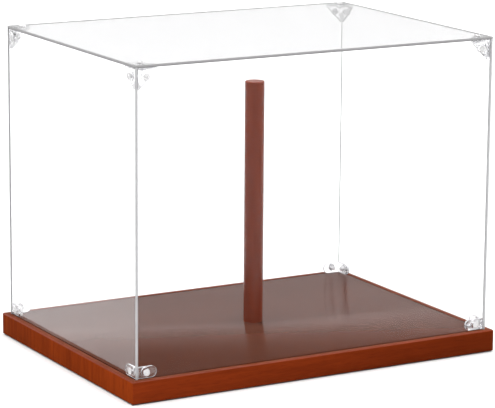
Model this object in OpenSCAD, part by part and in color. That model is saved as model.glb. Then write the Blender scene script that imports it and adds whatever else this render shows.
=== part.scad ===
// Tabletop display case for a full-size football helmet.
// A clear box of five flat sheets stands in a groove in a veneered base
// board. Moulded clear brackets and domed screws hold the sheets together
// at the corners, and the whole box lifts straight off the base. A round
// post near the middle of the base holds the helmet up from inside.
// +X runs along the length, +Y to the back, +Z up. The origin is the
// middle of the footprint, on the surface that the case stands on.

/* [Cover] */
// Outside length of the clear box
cover_l = 400; // [300:5:500]
// Outside depth of the clear box
cover_w = 284; // [220:2:400]
// Height of the clear box above the top of the base
cover_h = 301; // [200:1:400]
// Thickness of every clear sheet
sheet_t = 2.2; // [2:0.1:4]

/* [Base] */
// How far the base stands out past the clear box on each side
base_margin = 6.5; // [5.5:0.5:14]
// Thickness of the base board
base_t = 22; // [15:1:30]
// Depth of the groove that the sheets stand in
groove_d = 3; // [2:0.5:5]
// Gap between a sheet and each wall of the groove
groove_gap = 0.3; // [0.2:0.1:0.6]
// Chamfer along the upper edges and the upright edges of the board
base_edge = 1.2; // [0.5:0.1:2]

/* [Pads] */
// Diameter of each non-slip pad
pad_d = 18; // [10:1:30]
// Thickness of each non-slip pad
pad_t = 1; // [1:0.5:4]
// Distance from the board's edges to the middle of a pad
pad_inset = 30; // [20:1:60]

/* [Post] */
// Diameter of the round post
post_d = 20; // [15:1:40]
// Height of the post above the base
post_h = 250; // [100:5:280]
// How far the post stands to the right of the base's middle
post_x = 8; // [0:1:40]
// Chamfer round the top of the post
post_edge = 1.2; // [0.5:0.1:3]

/* [Brackets] */
// Length of a bracket's arms, from the inside corner of the sheets
arm = 21; // [18:1:30]
// Thickness of a bracket's plates
plate_t = 2.3; // [2:0.1:4]
// Height of the lower brackets
low_h = 11; // [9:0.5:16]
// Gap between a lower bracket and the top of the base
low_lift = 0.3; // [0.2:0.1:3]
// Distance of each screw from the inside corner
screw_in = 9.5; // [8:0.5:12]
// Diameter of the boss round each screw
boss_d = 8; // [7:0.5:10]
// How far a boss stands up from its plate
boss_up = 1.2; // [0.5:0.1:3]

/* [Screws] */
// Diameter of a screw's shank
shank_d = 3.9; // [2.9:0.1:4.9]
// Length of a screw under its head
screw_l = 7; // [6:0.5:10]
// Diameter of a screw's domed head
head_d = 7; // [6:0.5:9]
// Height of a screw's domed head
head_h = 2; // [1.5:0.1:3]

/* [Hidden] */
$fn = 48;
CORNERS = ["front_left", "front_right", "back_left", "back_right"];

eps = 0.01;               // overshoot of a cutting tool
base_l = cover_l + 2 * base_margin;
base_w = cover_w + 2 * base_margin;
base_top = pad_t + base_t;
cover_top = base_top + cover_h;
ceiling = cover_top - sheet_t;      // underside of the lid
floor_z = base_top - groove_d;      // bottom of the groove
wall_h = ceiling - floor_z;         // height of the upright sheets
long_l = cover_l - 2 * sheet_t;     // front and back sheets fit between the others
socket_l = 12;            // how deep the post is glued into the base
socket_gap = 0.1;         // glue gap round the post and under it
tip_r = 2;                // rounding at the end of an upper bracket's arms
top_web = 1.2;            // fillets along an upper bracket's inside edges
top_web_short = 3;        // how far they stop short of the arm's end
low_web = 2.4;            // fillet in a lower bracket's inside edge
sheet_hole_d = shank_d + 0.5;
bracket_hole_d = shank_d + 0.1;
upper_screw_z = ceiling - screw_in;
lower_screw_z = base_top + low_lift + low_h / 2;
thread_depth = 0.25;      // how deep a thread's valley is
recess_l = 4.4;           // cross recess: length, width and depth of a slot
recess_w = 0.9;
recess_depth = 1.1;
point_l = 0.8;            // tapered point of a screw

// ---------- shared pieces ----------

// A block centred on X and Y, standing on z.
module slab(l, w, h, z = 0) {
    translate([-l / 2, -w / 2, z]) cube([l, w, h]);
}

// A triangular prism that takes a 45-degree chamfer c off the edge along X
// at y = 0, z = 0, where the solid fills +y and -z.
module edge_cutter(length, c) {
    rotate([0, 90, 0])
        linear_extrude(height = length, center = true)
            polygon([[-eps, -eps], [c, -eps], [-eps, c]]);
}

// Puts children, drawn at the front left inside corner of the sheets, at
// corner k: bit 0 mirrors left to right, bit 1 mirrors front to back.
module at_corner(k) {
    mirror([k % 2, 0, 0])
        mirror([0, floor(k / 2), 0])
            translate([sheet_t - cover_l / 2, sheet_t - cover_w / 2, 0])
                children();
}

// ---------- base ----------

module groove() {
    outer = groove_gap;
    inner = sheet_t + groove_gap;
    difference() {
        slab(cover_l + 2 * outer, cover_w + 2 * outer, groove_d + eps, floor_z);
        slab(cover_l - 2 * inner, cover_w - 2 * inner, groove_d + 4 * eps,
             floor_z - eps);
    }
}

module base_board() {
    color([0.50, 0.19, 0.08])
    difference() {
        slab(base_l, base_w, base_t, pad_t);
        groove();
        translate([post_x, 0, base_top - socket_l - socket_gap])
            cylinder(d = post_d + 2 * socket_gap, h = socket_l + 1);
        for (s = [0, 1]) mirror([0, s, 0])
            translate([0, -base_w / 2, base_top])
                edge_cutter(base_l + 2, base_edge);
        for (s = [0, 1]) mirror([s, 0, 0])
            translate([-base_l / 2, 0, base_top])
                rotate([0, 0, -90]) edge_cutter(base_w + 2, base_edge);
        for (a = [0, 1], b = [0, 1]) mirror([a, 0, 0]) mirror([0, b, 0])
            translate([-base_l / 2, -base_w / 2, pad_t - 1])
                linear_extrude(height = base_t + 2)
                    polygon([[-eps, -eps], [base_edge, -eps], [-eps, base_edge]]);
    }
}

module pad(k) {
    color([0.08, 0.08, 0.08])
    mirror([k % 2, 0, 0]) mirror([0, floor(k / 2), 0])
        translate([pad_inset - base_l / 2, pad_inset - base_w / 2, 0])
            cylinder(d = pad_d, h = pad_t);
}

module helmet_post() {
    color([0.48, 0.17, 0.08])
    translate([post_x, 0, base_top - socket_l]) {
        cylinder(d = post_d, h = socket_l + post_h - post_edge);
        translate([0, 0, socket_l + post_h - post_edge])
            cylinder(d1 = post_d, d2 = post_d - 2 * post_edge, h = post_edge);
    }
}

// ---------- clear sheets ----------

module lid_panel() {
    color([0.86, 0.88, 0.92, 0.4])
    difference() {
        slab(cover_l, cover_w, sheet_t, ceiling);
        for (k = [0 : 3]) at_corner(k)
            translate([screw_in, screw_in, ceiling - 1])
                cylinder(d = sheet_hole_d, h = sheet_t + 2);
    }
}

// The front sheet and, mirrored, the back sheet: between the short ones.
module long_panel() {
    color([0.86, 0.88, 0.92, 0.4])
    difference() {
        translate([-long_l / 2, -cover_w / 2, floor_z])
            cube([long_l, sheet_t, wall_h]);
        for (k = [0, 1], z = [lower_screw_z, upper_screw_z]) at_corner(k)
            translate([screw_in, 1, z]) rotate([90, 0, 0])
                cylinder(d = sheet_hole_d, h = sheet_t + 2);
    }
}

// The left sheet and, mirrored, the right sheet: the cover's full depth.
module short_panel() {
    color([0.86, 0.88, 0.92, 0.4])
    difference() {
        translate([-cover_l / 2, -cover_w / 2, floor_z])
            cube([sheet_t, cover_w, wall_h]);
        for (k = [0, 2], z = [lower_screw_z, upper_screw_z]) at_corner(k)
            translate([1, screw_in, z]) rotate([0, -90, 0])
                cylinder(d = sheet_hole_d, h = sheet_t + 2);
    }
}

// ---------- brackets ----------

// One three-cornered plate with rounded tips, in +x +y, and its boss.
module upper_plate() {
    side = arm - tip_r;
    slope = tip_r / sqrt(2);
    linear_extrude(height = plate_t)
        polygon([[0, 0], [side, 0], [side + slope, tip_r + slope],
                 [tip_r + slope, side + slope], [0, side]]);
    for (p = [[side, tip_r], [tip_r, side]])
        translate([p.x, p.y, 0]) cylinder(r = tip_r, h = plate_t);
    translate([screw_in, screw_in, 0]) cylinder(d = boss_d, h = plate_t + boss_up);
}

// One flat arm with a round end, in +x +y, and its boss.
module lower_plate() {
    cube([arm - low_h / 2, low_h, plate_t]);
    translate([arm - low_h / 2, low_h / 2, 0]) cylinder(d = low_h, h = plate_t);
    translate([screw_in, low_h / 2, 0]) cylinder(d = boss_d, h = plate_t + boss_up);
}

// Triangular fillet along +z that stands web proud in the corner of two
// plates.
module corner_fillet(length, web) {
    reach = plate_t + web;
    linear_extrude(height = length) polygon([[0, 0], [reach, 0], [0, reach]]);
}

// Turns a shape drawn on the x-y plane and standing up in +z so that it
// lies on the front sheet (x stays, y goes up, z goes inwards).
module on_front() {
    multmatrix([[1, 0, 0, 0], [0, 0, 1, 0], [0, 1, 0, 0], [0, 0, 0, 1]])
        children();
}

// The same for the left sheet (x goes to the back, y up, z inwards).
module on_left() {
    multmatrix([[0, 0, 1, 0], [1, 0, 0, 0], [0, 1, 0, 0], [0, 0, 0, 1]])
        children();
}

module top_bracket(k) {
    web_l = arm - top_web_short;
    hole_l = plate_t + boss_up + 2;
    color([0.90, 0.92, 0.96, 0.6])
    at_corner(k) translate([0, 0, ceiling]) mirror([0, 0, 1])
        difference() {
            union() {
                upper_plate();
                on_front() upper_plate();
                on_left() upper_plate();
                corner_fillet(web_l, top_web);
                on_front() corner_fillet(web_l, top_web);
                on_left() corner_fillet(web_l, top_web);
            }
            translate([screw_in, screw_in, -1])
                cylinder(d = bracket_hole_d, h = hole_l);
            translate([screw_in, -1, screw_in]) rotate([-90, 0, 0])
                cylinder(d = bracket_hole_d, h = hole_l);
            translate([-1, screw_in, screw_in]) rotate([0, 90, 0])
                cylinder(d = bracket_hole_d, h = hole_l);
        }
}

module bottom_bracket(k) {
    mid = low_h / 2;
    hole_l = plate_t + boss_up + 2;
    color([0.90, 0.92, 0.96, 0.6])
    at_corner(k) translate([0, 0, base_top + low_lift])
        difference() {
            union() {
                on_front() lower_plate();
                on_left() lower_plate();
                corner_fillet(low_h, low_web);
            }
            translate([screw_in, -1, mid]) rotate([-90, 0, 0])
                cylinder(d = bracket_hole_d, h = hole_l);
            translate([-1, screw_in, mid]) rotate([0, 90, 0])
                cylinder(d = bracket_hole_d, h = hole_l);
        }
}

// ---------- screws ----------

// A domed screw along +z, with the underside of its head at z = 0.
module screw() {
    rim_h = head_h / 3;
    dome_r = (pow(head_d / 2, 2) + pow(head_h - rim_h, 2)) / (2 * (head_h - rim_h));
    difference() {
        union() {
            intersection() {
                cylinder(d = head_d, h = head_h);
                translate([0, 0, head_h - dome_r]) sphere(r = dome_r);
            }
            translate([0, 0, point_l - screw_l])
                cylinder(d = shank_d, h = screw_l - point_l + head_h / 2);
            translate([0, 0, -screw_l])
                cylinder(d1 = shank_d - 4 * thread_depth, d2 = shank_d, h = point_l);
        }
        for (a = [0, 90]) rotate([0, 0, a])
            slab(recess_l, recess_w, recess_depth + eps, head_h - recess_depth);
    }
}

module lid_screws() {
    color([0.93, 0.94, 0.96])
    for (k = [0 : 3]) at_corner(k)
        translate([screw_in, screw_in, cover_top]) screw();
}

// Two screws in the front sheet, or the back sheet for first corner 2.
module long_screws(first, z) {
    color([0.93, 0.94, 0.96])
    for (k = [first, first + 1]) at_corner(k)
        translate([screw_in, -sheet_t, z]) rotate([90, 0, 0]) screw();
}

// Two screws in the left sheet, or the right sheet for first corner 1.
module short_screws(first, z) {
    color([0.93, 0.94, 0.96])
    for (k = [first, first + 2]) at_corner(k)
        translate([-sheet_t, screw_in, z]) rotate([0, -90, 0]) screw();
}

// ---------- the assembly ----------

base_board();
helmet_post();
for (k = [0 : 3]) {
    pad(k);
    top_bracket(k);
    bottom_bracket(k);
}
lid_panel();
long_panel();  // front_panel
mirror([0, 1, 0]) long_panel();  // back_panel
short_panel();  // left_panel
mirror([1, 0, 0]) short_panel();  // right_panel
lid_screws();
long_screws(0, upper_screw_z);  // front_upper_screws
long_screws(0, lower_screw_z);  // front_lower_screws
long_screws(2, upper_screw_z);  // back_upper_screws
long_screws(2, lower_screw_z);  // back_lower_screws
short_screws(0, upper_screw_z);  // left_upper_screws
short_screws(0, lower_screw_z);  // left_lower_screws
short_screws(1, upper_screw_z);  // right_upper_screws
short_screws(1, lower_screw_z);  // right_lower_screws
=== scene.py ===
"""Looks of a tabletop display case for a full-size helmet.

Clear sheets with cut edges, moulded clear corner brackets and screws, a
base board wrapped in cherry foil and a turned post. Everything is in metres, in the frame of
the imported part: +X along the case, +Y to its back, +Z up.
"""

import math

import bmesh
import bpy
from mathutils import Matrix, Vector


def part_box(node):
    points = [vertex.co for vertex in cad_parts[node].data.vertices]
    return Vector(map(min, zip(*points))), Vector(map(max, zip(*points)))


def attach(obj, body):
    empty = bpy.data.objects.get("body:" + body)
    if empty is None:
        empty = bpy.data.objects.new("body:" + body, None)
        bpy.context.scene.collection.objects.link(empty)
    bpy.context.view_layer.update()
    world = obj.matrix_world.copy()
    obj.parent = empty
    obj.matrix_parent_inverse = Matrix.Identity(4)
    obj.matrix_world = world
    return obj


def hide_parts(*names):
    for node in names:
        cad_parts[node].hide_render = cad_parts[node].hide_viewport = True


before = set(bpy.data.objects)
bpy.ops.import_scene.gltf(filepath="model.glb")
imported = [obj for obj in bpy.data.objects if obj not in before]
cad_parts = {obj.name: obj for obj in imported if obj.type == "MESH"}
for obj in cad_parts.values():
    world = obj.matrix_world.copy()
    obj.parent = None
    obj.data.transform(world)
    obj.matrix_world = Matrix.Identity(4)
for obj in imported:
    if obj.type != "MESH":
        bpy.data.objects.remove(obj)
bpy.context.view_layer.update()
scene = bpy.context.scene

MM = 0.001
X, Y, Z = Vector((1, 0, 0)), Vector((0, 1, 0)), Vector((0, 0, 1))

# ---------- sizes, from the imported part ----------

base_low, base_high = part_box("base_board")
lid_low, lid_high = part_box("lid_panel")
front_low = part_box("front_panel")[0]
side_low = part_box("left_panel")[0]
upper_low, upper_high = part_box("top_bracket_front_left")
lower_low, lower_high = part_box("bottom_bracket_front_left")
pad_low, pad_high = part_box("pad_front_left")

SHEET = lid_high.z - lid_low.z                  # thickness of every clear sheet
SCREW_IN = 9.5 * MM                             # screws, from the sheets' inside corner
SHEET_HOLE_R = 2.2 * MM
HEAD_H = 2.0 * MM                               # how far a screw's head stands out
upper_screw_z = upper_high.z - SCREW_IN
lower_screw_z = (lower_low.z + lower_high.z) / 2
inside = Vector((-upper_low.x, -upper_low.y, 0))    # inside corner of the sheets, back right

AIR = 0.05 * MM       # air gap between clear pieces that touch
ARRIS = 0.3 * MM      # broken edge of a cut sheet

CORNERS = {"front_left": (-1, -1), "front_right": (1, -1), "back_left": (-1, 1), "back_right": (1, 1)}


# ---------- node materials ----------

class Shader:
    """A new node material, with short names for what the materials here use."""

    def __init__(self, name):
        self.material = bpy.data.materials.new(name)
        self.material.use_nodes = True
        self.tree = self.material.node_tree
        self.main = self.tree.nodes["Principled BSDF"]
        self.output = self.tree.nodes["Material Output"]

    def add(self, kind, **values):
        """A node of that kind. Values go to its properties, or else to its inputs of that name."""
        node = self.tree.nodes.new("ShaderNode" + kind)
        for key, value in values.items():
            if hasattr(node, key):
                setattr(node, key, value)
            else:
                node.inputs[key.replace("_", " ")].default_value = value
        return node

    def link(self, source, target):
        self.tree.links.new(source, target)

    def set(self, **values):
        """Plain values on the main shader's own sockets."""
        for key, value in values.items():
            self.main.inputs[key.replace("_", " ")].default_value = value

    def place(self, scale):
        """Object coordinates, stretched by scale along each axis."""
        where = self.add("TexCoord")
        stretch = self.add("Mapping")
        stretch.inputs["Scale"].default_value = scale
        self.link(where.outputs["Object"], stretch.inputs["Vector"])
        return stretch.outputs["Vector"]

    def noise(self, place, scale=1.0, detail=3.0, roughness=0.55, distortion=0.0):
        node = self.add("TexNoise", Scale=scale, Detail=detail, Roughness=roughness, Distortion=distortion)
        self.link(place, node.inputs["Vector"])
        return node.outputs["Fac"]

    def ramp(self, factor, stops):
        """Colours or greys along a 0 to 1 factor. stops are (position, colour)."""
        node = self.add("ValToRGB")
        elements = node.color_ramp.elements
        while len(elements) < len(stops):
            elements.new(0.5)
        for element, (position, colour) in zip(elements, stops):
            element.position = position
            element.color = (*colour, 1.0) if isinstance(colour, tuple) else (colour, colour, colour, 1.0)
        self.link(factor, node.inputs["Fac"])
        return node.outputs["Color"]

    def blend(self, factor, a, b, kind="MIX"):
        """Two colours mixed. factor is a number or an output, and a and b are colours or outputs."""
        node = self.add("Mix", data_type="RGBA", blend_type=kind)
        for socket, value in ((node.inputs[0], factor), (node.inputs[6], a), (node.inputs[7], b)):
            if isinstance(value, bpy.types.NodeSocket):
                self.link(value, socket)
            elif isinstance(value, tuple):
                socket.default_value = (*value, 1.0)
            else:
                socket.default_value = value
        return node.outputs[2]

    def bump(self, height, distance, strength=1.0):
        node = self.add("Bump", Distance=distance, Strength=strength)
        self.link(height, node.inputs["Height"])
        self.link(node.outputs["Normal"], self.main.inputs["Normal"])

    def let_lamps_through(self, tint):
        """Shadow rays pass this glass as through a tinted pane."""
        light_path = self.add("LightPath")
        clear = self.add("BsdfTransparent")
        clear.inputs["Color"].default_value = (*tint, 1.0)
        mix = self.add("MixShader")
        self.link(light_path.outputs["Is Shadow Ray"], mix.inputs[0])
        self.link(self.main.outputs[0], mix.inputs[1])
        self.link(clear.outputs[0], mix.inputs[2])
        self.link(mix.outputs[0], self.output.inputs["Surface"])


def veneer(name, grain, light, dark, gloss, roughness, painted_falloff=None):
    """Cherry wood or foil. grain is the axis that its figure runs along, and gloss its specular level.

    Its last argument, (axis, half length, level), lowers the colour to level at the positive end of
    that axis: painted shade, in place of light that falls off along the board.
    """
    s = Shader(name)
    stretch = [1.0, 1.0, 1.0]
    stretch["XYZ".index(grain)] = 0.07
    place = s.place(stretch)
    drift = s.noise(place, 26, 2, 0.5, 0.4)
    streak = s.noise(place, 210, 4, 0.62, 0.6)
    hair = s.noise(place, 1500, 2, 0.5)
    figure = s.blend(0.6, drift, streak)
    middle = tuple((a + b) / 2 for a, b in zip(light, dark))
    colour = s.ramp(figure, [(0.32, dark), (0.50, middle), (0.68, light)])
    pores = s.ramp(hair, [(0.36, 0.72), (0.47, 1.0)])
    colour = s.blend(0.6, colour, pores, "MULTIPLY")
    if painted_falloff:
        axis, half, level = painted_falloff
        split = s.add("SeparateXYZ")
        along = s.add("MapRange", From_Min=-half, From_Max=half)
        s.link(s.place((1, 1, 1)), split.inputs["Vector"])
        s.link(split.outputs[axis], along.inputs["Value"])
        # painted shade: darker towards the positive end of the axis
        shade = s.ramp(along.outputs["Result"], [(0.0, 1.0), (1.0, level)])
        colour = s.blend(1.0, colour, shade, "MULTIPLY")
    s.link(colour, s.main.inputs["Base Color"])
    s.link(s.ramp(streak, [(0.2, roughness * 1.15), (0.8, roughness * 0.85)]), s.main.inputs["Roughness"])
    s.bump(hair, 0.02 * MM, 0.05)
    s.set(Specular_IOR_Level=gloss)
    return s.material


def raw_board(name, colour):
    """Bare fibreboard, as in the groove and on the underside."""
    s = Shader(name)
    fibre = s.noise(s.place((1, 1, 1)), 900, 5, 0.7)
    s.link(s.ramp(fibre, [(0.3, tuple(c * 0.6 for c in colour)), (0.7, colour)]), s.main.inputs["Base Color"])
    s.bump(fibre, 0.1 * MM, 0.6)
    s.set(Roughness=0.85, Specular_IOR_Level=0.1)
    return s.material


def clear_sheet(name, tint):
    """Polished face of a clear acrylic sheet, with faint unevenness from casting.

    The black Specular Tint makes it reflect less than real acrylic does.
    """
    s = Shader(name)
    s.bump(s.noise(s.place((1, 1, 1)), 9, 1, 0.4), 0.05 * MM, 0.3)
    s.main.inputs["Base Color"].default_value = (*tint, 1.0)
    s.main.inputs["Specular Tint"].default_value = (0.0, 0.0, 0.0, 1.0)
    s.set(Roughness=0.0, IOR=1.49, Transmission_Weight=1.0)
    s.let_lamps_through((0.96, 0.96, 0.965))
    return s.material


def cut_edge(name, colour):
    """Sawn and flamed edge of a clear sheet, which scatters the light it meets."""
    s = Shader(name)
    place = s.place((1, 1, 1))
    saw = s.noise(place, 700, 3, 0.6)
    wave = s.noise(place, 40, 2, 0.5)
    mixed = s.blend(0.5, saw, wave)
    s.link(s.ramp(mixed, [(0.3, tuple(c * 0.9 for c in colour)), (0.7, colour)]), s.main.inputs["Base Color"])
    s.bump(saw, 0.05 * MM, 0.5)
    s.set(Roughness=0.35, IOR=1.49, Specular_IOR_Level=0.15)
    return s.material


def moulded_clear(name, tint, roughness, share):
    """Injection-moulded clear plastic. share is how much of it lets light through."""
    s = Shader(name)
    flow = s.noise(s.place((1, 1, 1)), 260, 2, 0.5)
    s.bump(flow, 0.1 * MM, 0.25)
    s.main.inputs["Base Color"].default_value = (*tint, 1.0)
    s.set(Roughness=roughness, IOR=1.55, Transmission_Weight=share)
    s.let_lamps_through((0.85, 0.85, 0.86))
    return s.material


def rubber(name):
    s = Shader(name)
    grain = s.noise(s.place((1, 1, 1)), 1800, 3, 0.6)
    colour = s.ramp(grain, [(0.3, (0.012, 0.012, 0.013)), (0.7, (0.035, 0.034, 0.033))])
    s.link(colour, s.main.inputs["Base Color"])
    s.bump(grain, 0.08 * MM, 0.7)
    s.set(Roughness=0.75, Specular_IOR_Level=0.3)
    return s.material


def plain_floor(name):
    s = Shader(name)
    s.link(s.ramp(s.noise(s.place((1, 1, 1)), 3, 2), [(0.0, 0.90), (1.0, 0.92)]), s.main.inputs["Base Color"])
    s.set(Roughness=0.9, Specular_IOR_Level=0.0)
    return s.material


# ---------- mesh tools ----------

def finish_piece(name, bm, materials, body, nodes, sharp=35.0):
    """Makes an object of a bmesh, smooth but for its sharp edges, that rides on body and stands for nodes."""
    bmesh.ops.recalc_face_normals(bm, faces=bm.faces)
    mesh = bpy.data.meshes.new(name)
    bm.to_mesh(mesh)
    bm.free()
    mesh.polygons.foreach_set("use_smooth", [True] * len(mesh.polygons))
    mesh.set_sharp_from_angle(angle=math.radians(sharp))
    for material in materials:
        mesh.materials.append(material)
    piece = bpy.data.objects.new(name, mesh)
    scene.collection.objects.link(piece)
    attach(piece, body)
    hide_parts(*nodes)


def add_loop(bm, points):
    return [bm.verts.new(p) for p in points]


def bridge(bm, a, b, material=0):
    """Quads between two closed loops with the same number of points."""
    faces = []
    for i in range(len(a)):
        j = (i + 1) % len(a)
        face = bm.faces.new((a[i], a[j], b[j], b[i]))
        face.material_index = material
        faces.append(face)
    return faces


def rounded_rectangle(half_x, half_y, radius, steps, z):
    """Points round a rectangle with its corners rounded, anticlockwise from +X."""
    points = []
    for corner, (sx, sy) in enumerate(((1, 1), (-1, 1), (-1, -1), (1, -1))):
        for i in range(steps + 1):
            angle = math.radians(90 * (corner + i / steps))
            points.append(Vector((
                sx * (half_x - radius) + radius * math.cos(angle),
                sy * (half_y - radius) + radius * math.sin(angle),
                z,
            )))
    return points


def circle(centre, u, v, radius, count):
    angles = [2 * math.pi * i / count for i in range(count)]
    return [centre + u * radius * math.cos(a) + v * radius * math.sin(a) for a in angles]


# ---------- base ----------

def base_profile():
    """Rows of (inset from the board's outline, height, plan corner radius), from bottom to top."""
    bottom, top = base_low.z, base_high.z
    foot_r, edge_r = 0.6 * MM, 1.5 * MM
    groove_gap, groove_depth = 0.3 * MM, 3.0 * MM
    margin = base_high.x - lid_high.x
    outer = margin - groove_gap
    inner = margin + SHEET + groove_gap
    lip = 0.15 * MM
    corner_r, steps = 1.0 * MM, 6
    rows = []
    for i in range(steps + 1):
        turn = math.radians(90 * i / steps)
        rows.append((foot_r * (1 - math.sin(turn)), bottom + foot_r * (1 - math.cos(turn)), corner_r))
    for i in range(steps + 1):
        turn = math.radians(90 * i / steps)
        rows.append((edge_r * (1 - math.cos(turn)), top - edge_r * (1 - math.sin(turn)), corner_r))
    rows += [
        (outer - lip, top, lip),
        (outer, top - lip, lip),
        (outer, top - groove_depth, lip),
        (inner, top - groove_depth, lip),
        (inner, top - lip, lip),
        (inner + lip, top, lip),
    ]
    return rows


def make_base():
    """The board, wrapped in foil that folds down over its edges, with the groove sawn through it."""
    bm = bmesh.new()
    rows = base_profile()
    loops = [
        add_loop(bm, rounded_rectangle(base_high.x - inset, base_high.y - inset, radius, 5, z))
        for inset, z, radius in rows
    ]
    field, rim, edge, long_side, end, board = range(6)
    groove_rows = range(len(rows) - 5, len(rows) - 1)
    for row, (a, b) in enumerate(zip(loops, loops[1:])):
        for face in bridge(bm, a, b):
            face.normal_update()
            n = face.normal
            if row in groove_rows or n.z < -0.2:
                face.material_index = board
            elif abs(n.z) > 0.95:
                face.material_index = rim
            elif n.z > 0.2:
                face.material_index = edge
            else:
                face.material_index = end if abs(n.x) > abs(n.y) else long_side
    bm.faces.new(loops[-1]).material_index = field
    bm.faces.new(reversed(loops[0])).material_index = board
    finish_piece(
        "foil_wrapped_base", bm,
        [
            # One foil, whose colour and gloss are set apart for each face to suit the light on it, as painted
            # light and shade: the field inside the groove darker, the rounded top edge glossier, the ends
            # lighter than the long sides.
            veneer("foil_inside_groove", "X", (0.080, 0.028, 0.017), (0.058, 0.019, 0.011), 0.025, 0.15),
            veneer("foil_rim", "X", (0.20, 0.045, 0.017), (0.13, 0.028, 0.010), 0.012, 0.3),
            veneer("foil_edge", "X", (0.24, 0.034, 0.007), (0.15, 0.020, 0.004), 0.2, 0.3),
            veneer(
                "foil_long_sides", "X", (0.255, 0.036, 0.0075), (0.16, 0.021, 0.0045), 0.002, 0.35,
                painted_falloff=("X", 0.2, 0.57),
            ),
            veneer(
                "foil_ends", "Z", (0.31, 0.047, 0.007), (0.18, 0.025, 0.004), 0.001, 0.35,
                painted_falloff=("Y", 0.15, 0.75),
            ),
            # Dark board colour, on the groove's walls and on the faces that look down.
            raw_board("dark_board", (0.06, 0.014, 0.006)),
        ],
        "base", ["base_board"], sharp=40,
    )


def make_turned(name, node, centre, profile, material, sharp=35.0):
    """A solid turned about the upright axis through centre. profile is (radius, height), going up."""
    bm = bmesh.new()
    loops = [
        add_loop(bm, circle(Vector((centre.x, centre.y, z)), X, Y, r, 64))
        for r, z in profile
    ]
    for a, b in zip(loops, loops[1:]):
        bridge(bm, a, b)
    bm.faces.new(reversed(loops[0]))
    bm.faces.new(loops[-1])
    finish_piece(name, bm, [material], "base", [node], sharp=sharp)


def make_pads():
    """Moulded rubber feet: round discs with a rolled rim and a shallow dish underneath."""
    material = rubber("black_rubber")
    radius = (pad_high.x - pad_low.x) / 2
    roll, dish = 0.3 * MM, 0.2 * MM
    for corner in CORNERS:
        low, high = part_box("pad_" + corner)
        profile = [(radius * 0.62, low.z + dish), (radius * 0.72, low.z)]
        for i in range(6):
            turn = math.radians(90 * i / 5)
            profile.append((radius - roll * (1 - math.sin(turn)), low.z + roll * (1 - math.cos(turn))))
        profile.append((radius, high.z))
        centre = (low + high) / 2
        make_turned("rubber_foot_" + corner, "pad_" + corner, centre, profile, material)


def make_post():
    """Varnished wooden post with its top edge rounded. Its foot is out of sight in the board."""
    low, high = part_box("helmet_post")
    radius = (high.x - low.x) / 2
    roll = 1.2 * MM
    profile = [(radius, base_high.z)]
    for i in range(7):
        turn = math.radians(90 * i / 6)
        profile.append((radius - roll * (1 - math.cos(turn)), high.z - roll * (1 - math.sin(turn))))
    wood = veneer("turned_wood", "Z", (0.20, 0.036, 0.014), (0.12, 0.020, 0.008), 0.3, 0.25)
    make_turned("turned_post", "helmet_post", (low + high) / 2, profile, wood, sharp=50)


# ---------- clear sheets ----------

def make_sheet(name, node, low, high, out, holes, materials):
    """A flat sheet between two corners of a box, facing the axis out, with a hole at each point in holes.

    The edges of its outline and holes are broken at both faces. Material 0 is the polished
    face, material 1 the cut edge, and material 2 the upper edge of an upright sheet.
    """
    u = Z if out == Y else Y
    v = X if out != X else Z
    centre = (low + high) / 2
    half_u, half_v, half_t = ((high - low).dot(a) / 2 for a in (u, v, out))
    bm = bmesh.new()
    steps = ((-half_t, ARRIS), (ARRIS - half_t, 0), (half_t - ARRIS, 0), (half_t, ARRIS))

    def outline(depth, inset):
        a, b = half_u - inset, half_v - inset
        signs = ((1, 1), (-1, 1), (-1, -1), (1, -1))
        return add_loop(bm, [centre + out * depth + u * p * a + v * q * b for p, q in signs])

    def bore(hole, depth, grow):
        flat = hole - out * (hole - centre).dot(out)
        return add_loop(bm, circle(flat + out * depth, u, v, SHEET_HOLE_R + grow, 32))

    rings = [[outline(*s) for s in steps]] + [[bore(h, *s) for s in steps] for h in holes]
    for ring in rings:
        for a, b in zip(ring, ring[1:]):
            bridge(bm, a, b, 1)
    for end in (0, -1):
        edges = []
        for ring in rings:
            loop = ring[end]
            edges += [bm.edges.get((loop[i], loop[(i + 1) % len(loop)])) for i in range(len(loop))]
        filled = bmesh.ops.triangle_fill(bm, use_beauty=True, use_dissolve=False, edges=edges)
        for face in filled["geom"]:
            if isinstance(face, bmesh.types.BMFace):
                face.material_index = 0
    if out != Z:
        for face in bm.faces:
            if face.calc_center_median().z > high.z - ARRIS:
                face.material_index = 2
    finish_piece(name, bm, materials, "cover", [node], sharp=20)


def make_sheets():
    polished = clear_sheet("acrylic_face", (0.985, 0.985, 0.99))
    # One plastic, whose cut edges are set apart to suit the light that reaches each, as painted light and
    # shade: lighter and darker copies of one edge, with the upper ends of the upright sheets near black.
    lid_edge = cut_edge("acrylic_edge_lid", (0.35, 0.345, 0.35))
    side_edge = cut_edge("acrylic_edge_side", (0.50, 0.50, 0.51))
    seam_edge = cut_edge("acrylic_edge_seam", (0.20, 0.20, 0.20))
    upper_edge = cut_edge("acrylic_edge_upper", (0.04, 0.04, 0.04))
    near_x = inside.x - SCREW_IN
    near_y = inside.y - SCREW_IN
    make_sheet(
        "lid_sheet", "lid_panel", lid_low, lid_high, Z,
        [Vector((sx * near_x, sy * near_y, 0)) for sx, sy in CORNERS.values()],
        [polished, lid_edge],
    )
    for name, end_edge in (("front", side_edge), ("back", seam_edge)):
        low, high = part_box(name + "_panel")
        low.x += AIR
        high.x -= AIR
        high.z -= AIR
        make_sheet(
            name + "_sheet", name + "_panel", low, high, Y,
            [Vector((sx * near_x, 0, z)) for sx in (-1, 1) for z in (lower_screw_z, upper_screw_z)],
            [polished, end_edge, upper_edge],
        )
    for name in ("left", "right"):
        low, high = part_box(name + "_panel")
        high.z -= AIR
        make_sheet(
            name + "_sheet", name + "_panel", low, high, X,
            [Vector((0, sy * near_y, z)) for sy in (-1, 1) for z in (lower_screw_z, upper_screw_z)],
            [polished, side_edge, upper_edge],
        )


# ---------- brackets ----------

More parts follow.
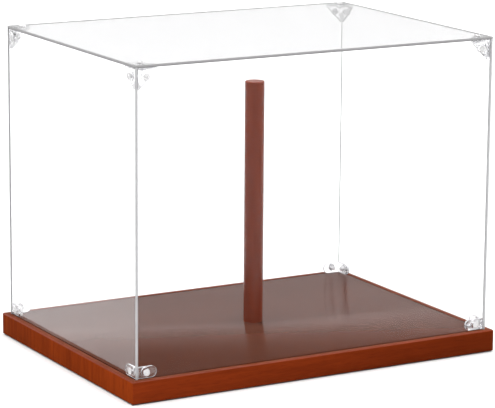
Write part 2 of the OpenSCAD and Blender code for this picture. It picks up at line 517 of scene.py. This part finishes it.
def make_bracket(name, node, away, materials, plates):
    """A moulded bracket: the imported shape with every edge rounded, moved by away off the sheets it touches.

    Faces square to the axes in plates have material 0, and all others material 1.
    """
    bm = bmesh.new()
    bm.from_mesh(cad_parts[node].data)
    bmesh.ops.remove_doubles(bm, verts=bm.verts, dist=0.002 * MM)
    bmesh.ops.dissolve_limit(bm, angle_limit=math.radians(1), verts=bm.verts, edges=bm.edges)
    bmesh.ops.translate(bm, verts=bm.verts, vec=away)
    sharp = [e for e in bm.edges if len(e.link_faces) == 2 and e.calc_face_angle(0) > math.radians(30)]
    bmesh.ops.bevel(
        bm, geom=sharp, offset=0.3 * MM, offset_type="OFFSET", segments=2, profile=0.5,
        affect="EDGES", clamp_overlap=True,
    )
    bm.normal_update()
    for face in bm.faces:
        in_plate = any(abs(face.normal.dot(axis)) > 0.99 for axis in plates)
        face.material_index = 0 if in_plate else 1
    finish_piece(name, bm, materials, "cover", [node], sharp=50)


def make_brackets():
    plastic = [
        moulded_clear("moulded_bracket", (0.99, 0.99, 0.995), 0.03, 1.0),
        moulded_clear("moulded_bracket_rim", (0.92, 0.92, 0.93), 0.25, 0.6),
    ]
    for corner, (sx, sy) in CORNERS.items():
        make_bracket(
            "upper_corner_" + corner, "top_bracket_" + corner,
            Vector((-sx * AIR, -sy * AIR, -AIR)), plastic, (X, Y, Z),
        )
        make_bracket(
            "lower_corner_" + corner, "bottom_bracket_" + corner,
            Vector((-sx * AIR, -sy * AIR, 0)), plastic, (X, Y),
        )


# ---------- screws ----------

def screw_rings():
    """Rows of (height, radius as a function of angle), from the head's top to the shank's point.

    The seat of the head is at height 0.
    """
    head_r, rim_h = 3.5 * MM, 0.67 * MM
    core_r, thread_r, pitch, length, point = 1.6 * MM, 1.95 * MM, 1.0 * MM, 7.0 * MM, 0.8 * MM
    fillet = 0.2 * MM
    rise = HEAD_H - rim_h
    dome_r = (head_r ** 2 + rise ** 2) / (2 * rise)
    rings = []
    for i in range(1, 11):
        r = (head_r - fillet * 0.5) * math.sin(math.radians(9 * i))
        z = HEAD_H - dome_r + math.sqrt(dome_r ** 2 - r ** 2)
        rings.append((z, lambda a, r=r: r))
    for turn in (30, 60, 90):
        rings.append((
            rim_h - 0.1 * MM - fillet * math.sin(math.radians(turn)) * 0.4,
            lambda a, r=head_r - fillet * 0.1 * (1 - math.sin(math.radians(turn))): r,
        ))
    for turn in (0, 30, 60, 90):
        rings.append((
            AIR + fillet * (1 - math.sin(math.radians(turn))),
            lambda a, r=head_r - fillet * (1 - math.cos(math.radians(turn))): r,
        ))
    rings.append((AIR, lambda a: thread_r * 1.02))
    plain, per_pitch = 0.6 * MM, 8

    def thread(z):
        def radius(angle):
            phase = (-z / pitch + angle / (2 * math.pi)) % 1
            crest = max(0.0, 1 - abs(phase - 0.5) * 3.2)
            run_in = min(1.0, max(0.0, (-z - plain) / pitch))
            taper = min(1.0, max(0.0, (z + length) / point))
            return (core_r + (thread_r - core_r) * crest * run_in) * (0.72 + 0.28 * taper)
        return radius

    rings.append((AIR - 0.1 * MM, lambda a: core_r))
    steps = int((length - plain) / pitch * per_pitch)
    for i in range(steps + 1):
        z = -plain - (length - plain) * i / steps
        rings.append((z, thread(z)))
    return rings


def screw_mesh():
    """One screw along +Z, its seat at the origin: a domed head with a cross recess and a threaded shank."""
    bm = bmesh.new()
    count = 36
    loops = []
    for z, radius in screw_rings():
        points = []
        for i in range(count):
            angle = 2 * math.pi * i / count
            points.append(Vector((radius(angle) * math.cos(angle), radius(angle) * math.sin(angle), z)))
        loops.append(add_loop(bm, points))
    for a, b in zip(loops, loops[1:]):
        bridge(bm, b, a)
    top = bm.verts.new((0, 0, HEAD_H))
    for i in range(count):
        bm.faces.new((top, loops[0][i], loops[0][(i + 1) % count]))
    bm.faces.new(reversed(loops[-1]))
    bmesh.ops.recalc_face_normals(bm, faces=bm.faces)
    body = bpy.data.meshes.new("screw_body")
    bm.to_mesh(body)
    bm.free()

    cutter_bm = bmesh.new()
    slot_l, slot_w, depth, taper = 4.4 * MM, 0.9 * MM, 1.1 * MM, 0.82
    outline = []
    for k in range(4):
        turn = Matrix.Rotation(math.radians(90 * k), 3, "Z")
        outline += [
            turn @ Vector((slot_l / 2, -slot_w / 2, 0)),
            turn @ Vector((slot_l / 2, slot_w / 2, 0)),
            turn @ Vector((slot_w / 2, slot_w / 2, 0)),
        ]
    floor_loop = add_loop(cutter_bm, [p * taper + Z * (HEAD_H - depth) for p in outline])
    mouth_loop = add_loop(cutter_bm, [p + Z * (HEAD_H + 0.5 * MM) for p in outline])
    bridge(cutter_bm, floor_loop, mouth_loop)
    cutter_bm.faces.new(reversed(floor_loop))
    cutter_bm.faces.new(mouth_loop)
    bmesh.ops.recalc_face_normals(cutter_bm, faces=cutter_bm.faces)
    cutter = bpy.data.meshes.new("screw_recess")
    cutter_bm.to_mesh(cutter)
    cutter_bm.free()

    blank = bpy.data.objects.new("screw_blank", body)
    tool = bpy.data.objects.new("screw_tool", cutter)
    for o in (blank, tool):
        scene.collection.objects.link(o)
    cut = blank.modifiers.new("recess", "BOOLEAN")
    cut.object, cut.operation, cut.solver = tool, "DIFFERENCE", "EXACT"
    bpy.context.view_layer.update()
    made = bpy.data.meshes.new_from_object(blank.evaluated_get(bpy.context.evaluated_depsgraph_get()))
    for o in (blank, tool):
        bpy.data.objects.remove(o)
    return made


def make_screws():
    material = moulded_clear("moulded_screw", (0.96, 0.955, 0.955), 0.12, 0.6)
    one = screw_mesh()
    near_x, near_y = inside.x - SCREW_IN, inside.y - SCREW_IN

    def place(at, out, spin):
        """Turns +Z to out, spun about it, with the head's seat at that point."""
        turn = out.to_track_quat("Z", "Y").to_matrix().to_4x4()
        return Matrix.Translation(at) @ turn @ Matrix.Rotation(math.radians(spin), 4, "Z")

    sets = {"lid": [(Vector((sx * near_x, sy * near_y, lid_high.z)), Z) for sx, sy in CORNERS.values()]}
    for height, z in (("upper", upper_screw_z), ("lower", lower_screw_z)):
        for side, sign in (("front", -1), ("back", 1)):
            sets[f"{side}_{height}"] = [
                (Vector((sx * near_x, -sign * front_low.y, z)), Y * sign) for sx in (-1, 1)
            ]
        for side, sign in (("left", -1), ("right", 1)):
            sets[f"{side}_{height}"] = [
                (Vector((-sign * side_low.x, sy * near_y, z)), X * sign) for sy in (-1, 1)
            ]
    for number, (name, places) in enumerate(sets.items()):
        bm = bmesh.new()
        for k, (at, out) in enumerate(places):
            copy = one.copy()
            copy.transform(place(at, out, 37 * number + 61 * k))
            bm.from_mesh(copy)
            bpy.data.meshes.remove(copy)
        finish_piece(f"screws_{name}", bm, [material], "cover", [f"{name}_screws"], sharp=40)


# ---------- floor, light and camera ----------

def make_floor():
    bm = bmesh.new()
    bm.faces.new(add_loop(bm, circle(Vector(), X, Y, 12.0, 64)))
    mesh = bpy.data.meshes.new("floor")
    bm.to_mesh(mesh)
    bm.free()
    mesh.materials.append(plain_floor("studio_floor"))
    floor = bpy.data.objects.new("floor", mesh)
    scene.collection.objects.link(floor)


# Brightness of the surroundings: (degrees above the horizon, level). Grey walls, which the
# clear plastic picks up as lines, under a broad white ceiling.
ROOF = 3.0
SKY = [(0, 0.7), (20, 0.7), (28, 0.5), (44, 0.5), (55, ROOF)]


def make_light():
    world = bpy.data.worlds.new("studio")
    scene.world = world
    world.use_nodes = True
    tree = world.node_tree
    sky = tree.nodes["Background"]
    sky.inputs["Strength"].default_value = ROOF
    towards = tree.nodes.new("ShaderNodeTexCoord")
    split = tree.nodes.new("ShaderNodeSeparateXYZ")
    shade = tree.nodes.new("ShaderNodeValToRGB")
    tree.links.new(towards.outputs["Generated"], split.inputs["Vector"])
    tree.links.new(split.outputs["Z"], shade.inputs["Fac"])
    tree.links.new(shade.outputs["Color"], sky.inputs["Color"])
    elements = shade.color_ramp.elements
    while len(elements) < len(SKY):
        elements.new(0.5)
    for element, (elevation, level) in zip(elements, SKY):
        element.position = math.sin(math.radians(elevation))
        element.color = (level / ROOF, level / ROOF, level / ROOF, 1)
    scene.view_settings.view_transform = "Standard"


def make_camera():
    """The viewpoint of the reference: low, from the front left, through a long lens."""
    azimuth, elevation, roll = (math.radians(a) for a in (-29.624, 12.223, 0.440))
    distance, across, up = 2.657, 0.0007, -0.0267
    back = Vector((
        math.sin(azimuth) * math.cos(elevation),
        -math.cos(azimuth) * math.cos(elevation),
        math.sin(elevation),
    ))
    right = Vector((math.cos(azimuth), math.sin(azimuth), 0))
    above = back.cross(right)
    right, above = (
        right * math.cos(roll) + above * math.sin(roll),
        above * math.cos(roll) - right * math.sin(roll),
    )
    aim = Z * (base_high.z + lid_high.z) / 2
    spot = aim + back * distance + right * across + above * up
    lens = bpy.data.cameras.new("camera")
    lens.lens, lens.sensor_width, lens.sensor_fit = 189.99, 36.0, "HORIZONTAL"
    lens.clip_start, lens.clip_end = 0.05, 60.0
    camera = bpy.data.objects.new("camera", lens)
    turn = Matrix((right, above, back)).transposed().to_4x4()
    camera.matrix_world = Matrix.Translation(spot) @ turn
    scene.collection.objects.link(camera)
    scene.camera = camera


make_camera()
make_base()
make_pads()
make_post()
make_sheets()
make_brackets()
make_screws()
make_floor()
make_light()
